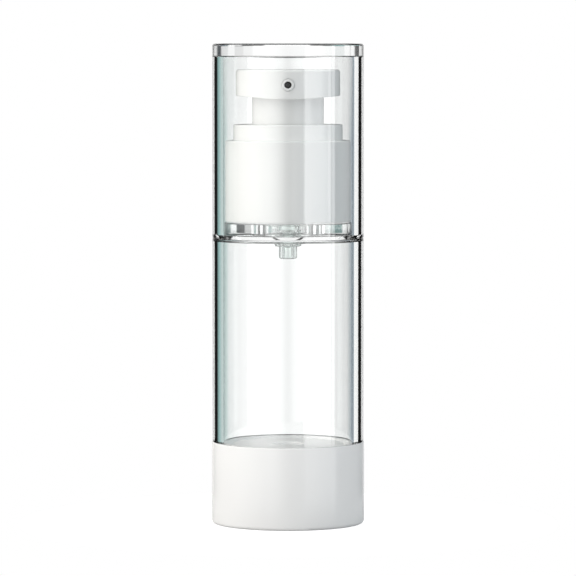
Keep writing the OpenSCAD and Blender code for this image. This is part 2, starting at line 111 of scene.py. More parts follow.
def lathe(name, corners, closed=True, lift=None, exact_normals=True):
    """A solid of revolution about Z. lift says how far a point moves up, for an edge that isn't level."""
    points = section(corners, closed)
    rows = len(points)
    verts = []
    first = []
    for here, _, _ in points:
        first.append(len(verts))
        for k in range(1 if here.x < ON_AXIS else SECTORS):
            angle = 2 * math.pi * k / SECTORS
            x, y = here.x * math.cos(angle), here.x * math.sin(angle)
            z = here.y + (lift(x, y, here.y) if lift else 0)
            verts.append((x * MM, y * MM, z * MM))
    faces = []
    normals = []
    for i in range(rows if closed else rows - 1):
        j = (i + 1) % rows
        n_start = points[i][2]
        n_end = points[j][1]
        for k in range(SECTORS):
            m = (k + 1) % SECTORS
            ring = {}
            for row, normal, at in ((i, n_start, k), (i, n_start, m), (j, n_end, m), (j, n_end, k)):
                lone = points[row][0].x < ON_AXIS
                angle = 2 * math.pi * (k + 0.5 if lone else at) / SECTORS
                vert = first[row] if lone else first[row] + at
                ring.setdefault(vert, (normal.x * math.cos(angle), normal.x * math.sin(angle), normal.y))
            if len(ring) > 2:
                faces.append(list(ring))
                normals += ring.values()
    mesh = bpy.data.meshes.new(name)
    mesh.from_pydata(verts, [], faces)
    mesh.polygons.foreach_set("use_smooth", [True] * len(mesh.polygons))
    mesh.update()
    if exact_normals:
        mesh.normals_split_custom_set(normals)
    return add(name, mesh)


def add(name, mesh):
    """Puts a mesh into the scene."""
    piece = bpy.data.objects.new(name, mesh)
    bpy.context.scene.collection.objects.link(piece)
    return piece


def settle(piece):
    """Turns a piece's modifiers into its mesh."""
    bpy.context.view_layer.update()
    done = piece.evaluated_get(bpy.context.evaluated_depsgraph_get())
    mesh = bpy.data.meshes.new_from_object(done)
    piece.modifiers.clear()
    piece.data = mesh


def combine(piece, tool, operation):
    """Joins a closed piece with a tool, or cuts the tool out of it. The tool is used up."""
    change = piece.modifiers.new("combine", "BOOLEAN")
    change.operation = operation
    change.solver = "EXACT"
    change.object = tool
    settle(piece)
    bpy.data.objects.remove(tool)


def even_normals(piece):
    """Smooth normals that keep flat faces flat, for a piece whose faces were cut."""
    piece.data.set_sharp_from_angle(angle=SMOOTH_TURN)
    weigh = piece.modifiers.new("weigh", "WEIGHTED_NORMAL")
    weigh.keep_sharp = True
    weigh.weight = 90
    settle(piece)


def towards_nozzle(piece, z):
    """Lays a piece that was turned about Z along -Y, at height z."""
    piece.data.transform(Matrix.Translation((0, 0, z * MM)) @ Matrix.Rotation(math.pi / 2, 4, "X"))
    return piece


def round_bead(r, z, size, wall_r, rising):
    """Points of a round bead or groove about its centre, from one meeting with a wall to the other."""
    half = math.sqrt(size**2 - (r - wall_r) ** 2)
    first = math.atan2(half, wall_r - r)
    last = 2 * math.pi - first
    angles = [first + (last - first) * k / BEAD_STEPS for k in range(BEAD_STEPS + 1)]
    if rising:
        angles.reverse()
    return [(r + size * math.cos(a), z + size * math.sin(a), 0) for a in angles]


def sag(across, half_width, depth):
    """Height at a place across a shallow arc, whose ends are at 0 and whose middle is lower by its depth."""
    arc_r = (half_width**2 + depth**2) / (2 * depth)
    return arc_r - depth - math.sqrt(arc_r**2 - across**2)


def place(piece, body, slot, material, *nodes):
    """Gives a piece its body and material, and hides the CAD nodes that it stands for. Its slot is not used.
    """
    piece.data.materials.clear()
    piece.data.materials.append(material)
    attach(piece, body)
    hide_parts(*nodes)


# Node trees
class Graph:
    """A node tree, with short ways to add what the materials and the studio are made of."""

    def __init__(self, tree):
        self.nodes = tree.nodes
        self.links = tree.links
        self.nodes.clear()

    def plug(self, socket, value):
        """Sets a socket to a number or a colour, or links another node's output to it."""
        if isinstance(value, tuple):
            socket.default_value = (*value, 1)
        elif isinstance(value, (int, float)):
            socket.default_value = value
        else:
            self.links.new(value, socket)

    def calc(self, operation, *values):
        """The result of a maths operation on numbers or other nodes' outputs."""
        node = self.nodes.new("ShaderNodeMath")
        node.operation = operation
        for socket, value in zip(node.inputs, values):
            self.plug(socket, value)
        return node.outputs[0]

    def at_most(self, count, number):
        """1 where a whole count is no more than a number, else 0."""
        return self.calc("LESS_THAN", count, number + 0.5)

    def over(self, count, number):
        """1 where a whole count is more than a number, else 0."""
        return self.calc("GREATER_THAN", count, number + 0.5)

    def exactly(self, count, number):
        """1 where a whole count is a number, else 0."""
        return self.calc("COMPARE", count, number, 0.5)

    def noise(self, scale, detail=2):
        """Noise in the object's own space, so that it moves with the object."""
        texture = self.nodes.new("ShaderNodeTexNoise")
        texture.inputs["Scale"].default_value = scale
        texture.inputs["Detail"].default_value = detail
        self.plug(texture.inputs["Vector"], self.nodes.new("ShaderNodeTexCoord").outputs["Object"])
        return texture.outputs["Fac"]

    def spread(self, value, low, high, start=0.25, end=0.75):
        """Maps a value's range from start to end to the range from low to high."""
        node = self.nodes.new("ShaderNodeMapRange")
        node.inputs["From Min"].default_value = start
        node.inputs["From Max"].default_value = end
        node.inputs["To Min"].default_value = low
        node.inputs["To Max"].default_value = high
        self.plug(node.inputs["Value"], value)
        return node.outputs["Result"]

    def tint(self, value, first, second):
        """Mixes two colours by a value; either can be another node's colour."""
        node = self.nodes.new("ShaderNodeMix")
        node.data_type = "RGBA"
        self.plug(node.inputs["A"], first)
        self.plug(node.inputs["B"], second)
        self.plug(node.inputs["Factor"], value)
        return node.outputs["Result"]

    def bump(self, height, distance):
        """A normal that makes the surface wavy by a distance."""
        node = self.nodes.new("ShaderNodeBump")
        node.inputs["Distance"].default_value = distance * MM
        self.plug(node.inputs["Height"], height)
        return node.outputs["Normal"]

    def sweep(self, angle, stops):
        """The light at an angle, from stops that run from one end of its range to the other."""
        start = stops[0][0]
        end = stops[-1][0]
        ramp = self.nodes.new("ShaderNodeValToRGB")
        elements = ramp.color_ramp.elements
        elements.remove(elements[-1])
        for i, (degrees, strength, tone) in enumerate(stops):
            share = (degrees - start) / (end - start)
            stop = elements[0] if i == 0 else elements.new(share)
            stop.position = share
            stop.color = (*(strength * part for part in tone), 1)
        self.plug(ramp.inputs["Fac"], self.spread(angle, 0, 1, math.radians(start), math.radians(end)))
        return ramp.outputs["Color"]


def grey(light):
    return (light, light, light)


# Sizes read off the frame
body_r, seam_z, cap_top_z = extent("overcap")
_, foot_z, neck_top_z = extent("bottle_body")
base_r, floor_z, base_top_z = extent("base_cup")
sleeve_r, land_top_z, sleeve_top_z = extent("collar_sleeve")
closure_r, closure_z, guide_z = extent("closure")
head_r, skirt_z, head_top_z = extent("actuator")
flange_r, inlet_z, flange_top_z = extent("pump_housing")
follower_r, follower_z, lip_z = extent("follower_piston")
_, stem_z, stem_top_z = extent("stem")
_, _, piston_top_z = extent("pump_piston")
nozzle_tip = -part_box("nozzle_insert")[0].y / MM

# Sizes and clearances that the pieces share
SLIDE_GAP = 0.05
PUSH_GAP = 0.02
END_GAP = 0.3
SNAP_GAP = 0.15
BODY_WALL = 2.4
CAP_WALL = 2.35
BASE_WALL = 1.2
BASE_GAP = 0.1
SNAP_Z = 12.3
LAND_FOOT_R = 0.7
DECK_T = 1.2
DECK_DROP = 0.45
SKIRT_R = 8.0
STEM_R = 2.0
STEM_BORE_R = 1.0
SPIGOT_R = 2.95
NOZZLE_DROP = 3.4
NOZZLE_R = 1.3
NOZZLE_L = 3.2
MOUTH_R = 0.75
COIL_R = 4.0
WIRE_R = 0.375
bore_r = body_r - BODY_WALL
cap_bore_r = body_r - CAP_WALL
base_bore_r = base_r - BASE_WALL
deck_z = seam_z - DECK_DROP
deck_top_z = deck_z + DECK_T
nozzle_z = head_top_z - NOZZLE_DROP

# The guide ring's bore and the neck's snap bead, which the closure's hooks grip
GUIDE_GAP = 0.3
BEAD_H = 0.45
BEAD_L = 1.15
BEAD_DROP = 3.1
guide_bore_r = SKIRT_R + GUIDE_GAP
bead_r = guide_bore_r - SNAP_GAP
neck_r = bead_r - BEAD_H
bead_z = neck_top_z - BEAD_DROP


# Materials
PLASTIC_IOR = 1.49
CLEAR_IOR = 1.57
GLASS_IOR = 1.52
WAVINESS = 0.004
SHEEN = 0.5
# Painted shade for the nozzle's deep mouth: its dark colour, and how far past the mouth's radius it fades
# out
BORE_PAINTED_SHADE = (0.012, 0.012, 0.014)
MOUTH_SHADE_FADE = 0.04


def new_material(name):
    """A material with its graph and its shader."""
    material = bpy.data.materials.new(name)
    material.use_nodes = True
    graph = Graph(material.node_tree)
    output = graph.nodes.new("ShaderNodeOutputMaterial")
    shader = graph.nodes.new("ShaderNodeBsdfPrincipled")
    graph.plug(output.inputs["Surface"], shader.outputs["BSDF"])
    return material, graph, shader


def mould(graph, shader, dark, light, rough):
    """Gives a shader a fine skin and a long flow waviness. Returns its slightly mottled colour."""
    colour = graph.tint(graph.noise(scale=60, detail=3), dark, light)
    graph.plug(shader.inputs["Roughness"], graph.spread(graph.noise(scale=900), *rough))
    graph.plug(shader.inputs["Normal"], graph.bump(graph.noise(scale=180, detail=1), WAVINESS))
    shader.inputs["IOR"].default_value = PLASTIC_IOR
    return colour


def moulded_plastic(name, dark, light, rough):
    """Opaque moulded plastic."""
    material, graph, shader = new_material(name)
    graph.plug(shader.inputs["Base Color"], mould(graph, shader, dark, light, rough))
    return material


def nozzle_plastic_with_painted_shade(name, dark, light, rough):
    """Opaque moulded plastic with painted shade: dark and without sheen within the mouth's radius, as the
    photograph shows it.
    """
    material, graph, shader = new_material(name)
    colour = mould(graph, shader, dark, light, rough)
    coords = graph.nodes.new("ShaderNodeTexCoord")
    to_axis = graph.nodes.new("ShaderNodeMapping")
    to_axis.inputs["Location"].default_value = (0, 0, -nozzle_z * MM)
    flatten = graph.nodes.new("ShaderNodeVectorMath")
    flatten.operation = "MULTIPLY"
    flatten.inputs[1].default_value = (1, 0, 1)
    length = graph.nodes.new("ShaderNodeVectorMath")
    length.operation = "LENGTH"
    graph.plug(to_axis.inputs["Vector"], coords.outputs["Object"])
    graph.plug(flatten.inputs[0], to_axis.outputs["Vector"])
    graph.plug(length.inputs[0], flatten.outputs["Vector"])
    # Painted shade: within the mouth the colour goes dark and the sheen goes off, standing in for the deep
    # hole's shade
    inside = graph.spread(length.outputs["Value"], 1, 0, MOUTH_R * MM, (MOUTH_R + MOUTH_SHADE_FADE) * MM)
    graph.plug(shader.inputs["Specular IOR Level"], graph.spread(inside, SHEEN, 0, 0, 1))
    graph.plug(shader.inputs["Base Color"], graph.tint(inside, colour, BORE_PAINTED_SHADE))
    return material


def clear_plastic(name, colour, ior, rough):
    """Clear moulded plastic, whose polish varies a little."""
    material, graph, shader = new_material(name)
    shader.inputs["Base Color"].default_value = (*colour, 1)
    shader.inputs["IOR"].default_value = ior
    shader.inputs["Transmission Weight"].default_value = 1
    graph.plug(shader.inputs["Roughness"], graph.spread(graph.noise(scale=120), *rough))
    return material


def wire_steel(name, dark, light, rough):
    """Drawn spring wire."""
    material, graph, shader = new_material(name)
    shader.inputs["Metallic"].default_value = 1
    graph.plug(shader.inputs["Base Color"], graph.tint(graph.noise(scale=1500), dark, light))
    graph.plug(shader.inputs["Roughness"], graph.spread(graph.noise(scale=2500), *rough))
    return material


clear_as = clear_plastic("clear_as", (0.985, 0.993, 0.99), CLEAR_IOR, (0, 0.004))
white_pp = moulded_plastic("white_pp", grey(0.88), grey(0.91), (0.16, 0.24))
# The nozzle's plastic, with painted shade in its mouth
nozzle_pp = nozzle_plastic_with_painted_shade("nozzle_pp", grey(0.88), grey(0.91), (0.18, 0.26))
follower_pe = moulded_plastic("follower_pe", grey(0.93), grey(0.96), (0.3, 0.4))
natural_pe = moulded_plastic("natural_pe", (0.74, 0.75, 0.74), (0.8, 0.81, 0.8), (0.3, 0.42))
natural_pp = clear_plastic("natural_pp", (0.88, 0.91, 0.9), PLASTIC_IOR, (0, 0.006))
ball_glass = clear_plastic("ball_glass", (0.97, 0.99, 0.98), GLASS_IOR, (0, 0.01))
steel = wire_steel("spring_steel", (0.55, 0.56, 0.58), (0.68, 0.69, 0.7), (0.18, 0.32))

# Overcap: thick clear tube, its closed end and the lead-in at its rim
CAP_TOP_T = 2.7
CEILING_SAG = 0.5
CEILING_STEPS = 24
LEAD_IN_ROOM = 0.1
lead_in = LAND_FOOT_R + LEAD_IN_ROOM
ceiling_z = cap_top_z - CAP_TOP_T
ceiling_rings = [cap_bore_r * k / CEILING_STEPS for k in range(CEILING_STEPS)]
overcap = lathe("overcap_clear", [
    *((r, ceiling_z + sag(r, cap_bore_r, CEILING_SAG), 0) for r in ceiling_rings),
    (cap_bore_r, ceiling_z, 0.25),
    (cap_bore_r, seam_z + lead_in, 0.1),
    (cap_bore_r + lead_in, seam_z, 0.1),
    (body_r, seam_z, 0.25),
    (body_r, cap_top_z, 0.6),
    (0, cap_top_z),
], closed=False)
place(overcap, "cap", "clear_as", clear_as, "overcap")

# Bottle: the clear barrel, its deck, the solid land and the neck
CAP_GAP = 0.3
SNAP_GROOVE_R = 0.45
FOOT_CHAMFER = 0.5
NECK_BORE_R = 5.2
DECK_HOLE_R = 3.05
foot_r = base_bore_r - BASE_GAP
land_r = cap_bore_r - CAP_GAP
bottle = lathe("bottle_body_clear", [
    (bore_r + FOOT_CHAMFER, foot_z),
    (foot_r, foot_z, 0.15),
    *round_bead(base_bore_r, SNAP_Z, SNAP_GROOVE_R, foot_r, rising=True),
    (foot_r, base_top_z),
    (body_r, base_top_z, 0.1),
    (body_r, seam_z, 0.25),
    (land_r, seam_z, LAND_FOOT_R),
    (land_r, land_top_z, 0.25),
    (neck_r, land_top_z, 0.1),
    (neck_r, bead_z, 0.1),
    (bead_r, bead_z, 0.1),
    (bead_r, bead_z + BEAD_L, 0.1),
    (neck_r, bead_z + BEAD_L + BEAD_H, 0.05),
    (neck_r, neck_top_z, 0.1),
    (NECK_BORE_R, neck_top_z, 0.1),
    (NECK_BORE_R, deck_top_z, 0.1),
    (DECK_HOLE_R, deck_top_z, 0.1),
    (DECK_HOLE_R, deck_z, 0.1),
    (bore_r, deck_z, 0.25),
    (bore_r, foot_z + FOOT_CHAMFER, 0.1),
])
place(bottle, "bottle", "clear_as", clear_as, "bottle_body")

# Base cup: the white cup with its vent, sunk underside and the ring that stops the follower
SNAP_BEAD_R = 0.35
VENT_R = 2.5
CUP_FLOOR_T = 1.4
RECESS_DEPTH = 0.8
RECESS_R = 13.0
STOP_INSET = 0.65
STOP_WALL = 1.0
cup_floor_z = RECESS_DEPTH + CUP_FLOOR_T
stop_r = bore_r - STOP_INSET
base = lathe("base_cup_white", [
    (VENT_R, RECESS_DEPTH, 0.15),
    (RECESS_R, RECESS_DEPTH, 0.15),
    (RECESS_R, floor_z, 0.15),
    (base_r, floor_z, 0.8),
    (base_r, base_top_z, 0.3),
    (base_bore_r, base_top_z, 0.1),
    *round_bead(base_bore_r, SNAP_Z, SNAP_BEAD_R, base_bore_r, rising=False),
    (base_bore_r, cup_floor_z, 0.15),
    (stop_r, cup_floor_z, 0.15),
    (stop_r, follower_z, 0.1),
    (stop_r - STOP_WALL, follower_z, 0.1),
    (stop_r - STOP_WALL, cup_floor_z, 0.15),
    (VENT_R, cup_floor_z, 0.1),
])
place(base, "bottle", "white_pp", white_pp, "base_cup")

# Collar sleeve: the wide white sleeve that stands on the land
SLEEVE_WALL = 1.25
LIP_PLATE_T = 1.0
LIP_PLATE_W = 0.5
sleeve_bore_r = sleeve_r - SLEEVE_WALL
sleeve = lathe("collar_sleeve_white", [
    (sleeve_bore_r, land_top_z, 0.1),
    (sleeve_r, land_top_z, 0.9),
    (sleeve_r, sleeve_top_z, 0.4),
    (sleeve_bore_r - LIP_PLATE_W, sleeve_top_z, 0.1),
    (sleeve_bore_r - LIP_PLATE_W, sleeve_top_z - LIP_PLATE_T, 0.05),
    (sleeve_bore_r, sleeve_top_z - LIP_PLATE_T, 0.05),
])
place(sleeve, "bottle", "white_pp", white_pp, "collar_sleeve")

# Closure: snaps on the neck, and its top is the guide ring round the head's skirt
RING_STEP = 1.8
RING_PLATE_T = 1.2
CLOSURE_WALL = 1.2
GUIDE_WALL = 1.0
SHELF_DEPTH = 4.0
SHELF_HOLE_R = 4.9
HOOK_L = 1.5
HOOK_CHAMFER = 0.3
ring_r = sleeve_r - RING_STEP
step_z = sleeve_top_z - LIP_PLATE_T - SLIDE_GAP
plate_z = guide_z - RING_PLATE_T
shelf_z = sleeve_top_z - SHELF_DEPTH
hook_r = neck_r + SNAP_GAP
hook_top_z = bead_z - SNAP_GAP
hook_z = hook_top_z - HOOK_L
closure = lathe("closure_white", [
    (bead_r, hook_z),
    (guide_bore_r + GUIDE_WALL, hook_z),
    (guide_bore_r + GUIDE_WALL, plate_z, 0.3),
    (ring_r - CLOSURE_WALL, plate_z, 0.3),
    (ring_r - CLOSURE_WALL, closure_z),
    (closure_r, closure_z),
    (closure_r, step_z),
    (ring_r, step_z),
    (ring_r, guide_z, 0.3),
    (guide_bore_r, guide_z, 0.15),
    (guide_bore_r, shelf_z, 0.1),
    (SHELF_HOLE_R, shelf_z, 0.1),
    (SHELF_HOLE_R, flange_top_z, 0.05),
    (guide_bore_r, flange_top_z, 0.1),
    (guide_bore_r, hook_top_z, 0.1),
    (hook_r, hook_top_z, 0.1),
    (hook_r, hook_z + HOOK_CHAMFER, 0.1),
])
place(closure, "bottle", "white_pp", white_pp, "closure")

# Head: cap of the pump with its skirt, the boss that holds the stem and the discharge channel
HEAD_BOW = 0.7
HEAD_WALL = 1.2
HEAD_H = 5.8
SKIRT_WALL = 0.9
BOSS_R = 3.1
BOSS_MARGIN = 0.5
BOSS_STEP = 0.6
BOSS_L = 4.5
CHANNEL_R = 0.8
CHANNEL_WALL = 0.9
CHANNEL_START = 0.1
GROOVE_W = 0.12
GROOVE_DEPTH = 0.4
# How far the bow reaches up from the lower edge, and a cutting tool past the surface
BOW_REACH = 1.0
SPILL = 1.0
head_z = head_top_z - HEAD_H
inner_z = head_top_z - HEAD_WALL
boss_wide_r = COIL_R + WIRE_R + BOSS_MARGIN
boss_step_z = head_z + BOSS_STEP
boss_z = boss_step_z - BOSS_L


def bow(x, y, z):
    """The head's lower edge hangs lower at the front and the back than at the sides."""
    outside_skirt = math.hypot(x, y) >= SKIRT_R + BOW_REACH
    return sag(x, head_r, HEAD_BOW) if outside_skirt and z <= head_z + BOW_REACH else 0


def rod(name, radius, start, end):
    """A plain round tool along -Y at the nozzle's height, from start to end."""
    corners = [(0, start), (radius, start, 0), (radius, end, 0), (0, end)]
    return towards_nozzle(lathe(name, corners, closed=False, exact_normals=False), nozzle_z)


head = lathe("head_white", [
    (0, nozzle_z + CHANNEL_R),
    (STEM_BORE_R, nozzle_z + CHANNEL_R, 0.05),
    (STEM_BORE_R, stem_top_z + PUSH_GAP, 0.05),
    (STEM_R + PUSH_GAP, stem_top_z + PUSH_GAP, 0.05),
    (STEM_R + PUSH_GAP, boss_z, 0.1),
    (BOSS_R, boss_z, 0.15),
    (BOSS_R, boss_step_z, 0.1),
    (boss_wide_r, boss_step_z, 0.15),
    (boss_wide_r, inner_z, 0.15),
    (SKIRT_R - SKIRT_WALL, inner_z, 0.15),
    (SKIRT_R - SKIRT_WALL, skirt_z, 0.2),
    (SKIRT_R, skirt_z, 0.3),
    (SKIRT_R, inner_z, 0.3),
    (head_r - HEAD_WALL, inner_z, 0.3),
    (head_r - HEAD_WALL, head_z, 0.15),
    (head_r, head_z, 0.2),
    (head_r, head_top_z, 0.7),
    (0, head_top_z),
], closed=False, lift=bow, exact_normals=False)
combine(head, rod("channel", CHANNEL_R + CHANNEL_WALL, CHANNEL_START, head_r - HEAD_WALL / 2), "UNION")
combine(head, rod("bore", CHANNEL_R, 0, head_r + SPILL), "DIFFERENCE")
combine(head, rod("pocket", NOZZLE_R + PUSH_GAP, nozzle_tip - NOZZLE_L, head_r + SPILL), "DIFFERENCE")
combine(head, rod("groove", NOZZLE_R + GROOVE_W, head_r - GROOVE_DEPTH, head_r + SPILL), "DIFFERENCE")
even_normals(head)
place(head, "head", "white_pp", white_pp, "actuator")

# Nozzle insert, with its wide mouth before a narrow bore
MOUTH_DEPTH = 1.2
NOZZLE_BORE_R = 0.5
insert = towards_nozzle(lathe("nozzle_insert_fine", [
    (NOZZLE_BORE_R, nozzle_tip - NOZZLE_L, 0.03),
    (NOZZLE_R, nozzle_tip - NOZZLE_L, 0.05),
    (NOZZLE_R, nozzle_tip, 0.2),
    (MOUTH_R, nozzle_tip, 0.08),
    (MOUTH_R, nozzle_tip - MOUTH_DEPTH, 0.05),
    (NOZZLE_BORE_R, nozzle_tip - MOUTH_DEPTH, 0.03),
]), nozzle_z)
place(insert, "head", "nozzle_pp", nozzle_pp, "nozzle_insert")

# Pump housing: inlet tube, spigot, narrow waist and barrel, with the ball's cage inside
PUMP_BORE_R = 3.9
PUMP_WALL = 1.05
PUMP_FLOOR_T = 0.8
WAIST_H = 2.15
INLET_L = 2.75
INLET_R = 2.0
INLET_BORE_R = 1.0
PILOT_L = 1.2
GASKET_T = 0.7
CAGE_R = 1.8
CAGE_LIP_W = 0.45
CAGE_LIP_T = 0.5
CAGE_LIP_DROP = 2.215
THROAT_H = 0.75
housing_r = PUMP_BORE_R + PUMP_WALL
pilot_r = NECK_BORE_R - SLIDE_GAP
spigot_z = inlet_z + INLET_L
waist_top_z = deck_top_z + WAIST_H
pump_floor_z = waist_top_z + PUMP_FLOOR_T
cage_lip_r = CAGE_R - CAGE_LIP_W
cage_lip_z = waist_top_z - CAGE_LIP_DROP
throat_r = cage_lip_r + THROAT_H
throat_z = cage_lip_z + CAGE_LIP_T
housing = lathe("pump_housing_natural", [
    (INLET_BORE_R, inlet_z, 0.1),
    (INLET_R, inlet_z, 0.45),
    (INLET_R, spigot_z, 0.1),
    (SPIGOT_R, spigot_z, 0.3),
    (SPIGOT_R, waist_top_z, 0.1),
    (housing_r, waist_top_z, 0.15),
    (housing_r, neck_top_z - PILOT_L, 0.1),
    (pilot_r, neck_top_z - PILOT_L, 0.05),
    (pilot_r, neck_top_z + GASKET_T, 0.05),
    (flange_r, neck_top_z + GASKET_T, 0.1),
    (flange_r, flange_top_z, 0.1),
    (PUMP_BORE_R, flange_top_z, 0.1),
    (PUMP_BORE_R, pump_floor_z, 0.2),
    (throat_r, pump_floor_z, 0.1),
    (throat_r, throat_z + THROAT_H, 0.05),
    (cage_lip_r, throat_z, 0.05),
    (cage_lip_r, cage_lip_z, 0.05),
    (CAGE_R, cage_lip_z, 0.05),
    (CAGE_R, spigot_z + CAGE_R - INLET_BORE_R, 0.1),
    (INLET_BORE_R, spigot_z, 0.05),
])
place(housing, "bottle", "natural_pp", natural_pp, "pump_housing")

# Follower: two sealing lips and a crown with the inlet's well
LIP_H = 1.6
LIP_T = 0.6
LIP_CHAMFER = 0.4
CROWN_DROP = 0.35
CROWN_T = 1.3
WELL_GAP = 0.55
crown_z = lip_z - CROWN_DROP
crown_foot_z = crown_z - CROWN_T
groove_z = crown_z - LIP_H
well_r = SPIGOT_R + WELL_GAP
well_z = lip_z - (deck_z - inlet_z) - END_GAP
wall_r = follower_r - LIP_T
follower = lathe("follower_white", [
    (0, well_z - CROWN_T),
    (well_r + CROWN_T, well_z - CROWN_T, 0.3),
    (well_r + CROWN_T, crown_foot_z, 0.3),
    (wall_r - 2 * CROWN_T, crown_foot_z, 0.3),
    (wall_r - 2 * CROWN_T, groove_z - CROWN_T, 0.1),
    (wall_r - CROWN_T, groove_z - CROWN_T, 0.2),
    (wall_r - CROWN_T, follower_z, 0.1),
    (follower_r - LIP_CHAMFER, follower_z, 0.1),
    (follower_r, follower_z + LIP_CHAMFER, 0.1),
    (follower_r, follower_z + LIP_H, 0.1),
    (wall_r, follower_z + LIP_H, 0.1),
    (wall_r, groove_z - CROWN_T, 0.2),
    (follower_r, groove_z - CROWN_T, 0.2),
    (follower_r, lip_z, 0.1),
    (wall_r, lip_z, 0.1),
    (wall_r, groove_z, 0.2),
    (wall_r - CROWN_T, groove_z, 0.2),
    (wall_r - CROWN_T, crown_z, 0.15),
    (well_r, crown_z, 0.3),
    (well_r, well_z, 0.3),
    (0, well_z),
], closed=False)
place(follower, "follower", "follower_pe", follower_pe, "follower_piston")

# Stem: the hollow rod with the collar that pushes the piston
STEM_COLLAR_W = 0.6
STEM_COLLAR_T = 0.5
stem_collar_r = STEM_R + STEM_COLLAR_W
stem_collar_z = piston_top_z + SLIDE_GAP
stem = lathe("stem_white", [
    (STEM_BORE_R, stem_z, 0.03),
    (STEM_R, stem_z, 0.05),
    (STEM_R, stem_collar_z, 0.05),
    (stem_collar_r, stem_collar_z, 0.05),
    (stem_collar_r, stem_collar_z + STEM_COLLAR_T, 0.05),
    (STEM_R, stem_collar_z + STEM_COLLAR_T, 0.05),
    (STEM_R, stem_top_z, 0.1),
    (STEM_BORE_R, stem_top_z, 0.1),
])
place(stem, "head", "white_pp", white_pp, "stem")

# CAD pieces whose own shape is right
for name, material, slot_name in (
    ("poppet", white_pp, "white_pp"),
    ("pump_piston", natural_pe, "natural_pe"),
    ("chaplet", natural_pe, "natural_pp"),
    ("neck_gasket", natural_pe, "natural_pe"),
    ("inlet_ball", ball_glass, "ball_glass"),
):
    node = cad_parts[name]
    node.data.materials.clear()
    node.data.materials.append(material)

# Return spring, which the head's stroke shortens; here it is built at one length and nothing shortens it
COIL_TURNS = 6.5
COIL_EASE = 0.4
COIL_STEPS = 40
WIRE_SIDES = 12
CHAPLET_FLANGE_T = 1.2
seat_z = flange_top_z + CHAPLET_FLANGE_T


def coil(name, low_z, high_z):
    """One wire whose pitch eases off at both closed ends."""
    rings = int(COIL_TURNS * COIL_STEPS)
    line = []
    for i in range(rings + 1):
        part = i / rings
        angle = 2 * math.pi * COIL_TURNS * part
        rise = part - COIL_EASE * math.sin(2 * math.pi * part) / (2 * math.pi)
        z = low_z + WIRE_R + (high_z - low_z - 2 * WIRE_R) * rise
        line.append(Vector((COIL_R * math.cos(angle), COIL_R * math.sin(angle), z)))
    mesh = bmesh.new()
    last = None
    for i, here in enumerate(line):
        way = (line[min(i + 1, rings)] - line[max(i - 1, 0)]).normalized()
        outward = Vector((here.x, here.y, 0)).normalized()
        across = way.cross(outward).normalized()
        ring = []
        for k in range(WIRE_SIDES):
            angle = 2 * math.pi * k / WIRE_SIDES
            offset = WIRE_R * (math.cos(angle) * outward + math.sin(angle) * across)
            ring.append(mesh.verts.new((here + offset) * MM))
        if last:
            for k in range(WIRE_SIDES):
                m = (k + 1) % WIRE_SIDES
                mesh.faces.new((last[k], ring[k], ring[m], last[m]))
        else:
            mesh.faces.new(ring)
        last = ring
    mesh.faces.new(list(reversed(last)))
    bmesh.ops.recalc_face_normals(mesh, faces=mesh.faces)
    for face in mesh.faces:
        face.smooth = len(face.verts) == 4
    data = bpy.data.meshes.new(name)
    mesh.to_mesh(data)
    mesh.free()
    return add(name, data)


spring = coil("return_spring_wire", seat_z + SLIDE_GAP, boss_step_z - SLIDE_GAP)
place(spring, "bottle", "spring_steel", steel, "return_spring")
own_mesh(spring)


# Studio: each list runs from left to right, as degrees, strength and tone
WHITE = (1, 1, 1)
TEAL = (0.64, 1, 0.98)
PALE_TEAL = (0.85, 1, 0.98)
BLUE = (0.78, 0.9, 1)
WARM = (1, 0.98, 0.94)
COOL = (0.95, 1, 1.03)
# What the clear walls mirror, counted from the camera
FRONT = [
    (-90, 0.4, WHITE), (-80, 0.7, WHITE), (-70, 1.0, WHITE), (-55, 1.5, WHITE), (-35, 1.8, WHITE),
    (-25, 1.8, WHITE), (-18, 1.5, WHITE), (-10, 1.0, WHITE), (-3, 0.3, WHITE), (3, 0.2, WHITE),
    (10, 0.5, WHITE), (25.5, 0.45, WHITE), (26.5, 2.6, WHITE), (45, 2.5, WHITE), (55, 2.5, WHITE),
    (64, 2.1, WHITE), (70, 1.8, WHITE), (71, 3.6, WHITE), (75, 3.6, WHITE), (76.5, 0.03, TEAL),
    (90, 0.03, TEAL),
]
# What shows through the two walls of a tube, counted from straight behind
BACK = [
    (-90, 0.03, TEAL), (-66, 0.03, TEAL), (-62, 1.2, WHITE), (-49, 1.2, WHITE), (-47, 0.3, TEAL),
    (-38, 0.45, TEAL), (-28, 0.75, PALE_TEAL), (-24, 0.9, PALE_TEAL), (-18, 1.1, WHITE), (-8, 1.1, WHITE),
    (8, 1.05, WHITE), (18, 0.95, WHITE), (24, 0.78, COOL), (30, 0.66, BLUE), (36, 0.5, BLUE),
    (43, 0.35, BLUE), (45, 1.2, WHITE), (57, 1.2, WHITE), (60, 0.3, WHITE), (66, 0.05, WHITE),
    (90, 0.03, TEAL),
]
# The same through a solid block, such as the land, which shows left and right the other way round
SOLID = [
    (-90, 0.03, WHITE), (-80, 0.1, WHITE), (-76, 1.1, WHITE), (-66, 1.1, WHITE), (-64, 0.03, WHITE),
    (-53.5, 0.03, WHITE), (-51.5, 1.1, WHITE), (-48, 1.1, WHITE), (-47, 0.03, WHITE), (-46, 0.03, WHITE),
    (-45, 1.1, WHITE), (-39.5, 1.1, WHITE), (-38, 0.3, TEAL), (-30.5, 0.3, TEAL), (-29, 0.55, PALE_TEAL),
    (-20.5, 0.6, WHITE), (-19, 1.1, WHITE), (20, 1.1, WHITE), (21, 0.6, WHITE), (27, 0.6, WHITE),
    (28, 0.03, BLUE), (35, 0.04, BLUE), (36, 1.2, WHITE), (42.5, 1.2, WHITE), (44, 0.3, PALE_TEAL),
    (49, 0.25, PALE_TEAL), (51, 0.05, BLUE), (62, 0.1, BLUE), (68, 1.1, WHITE), (76, 1.1, WHITE),
    (80, 0.05, WHITE), (90, 0.03, WHITE),
]
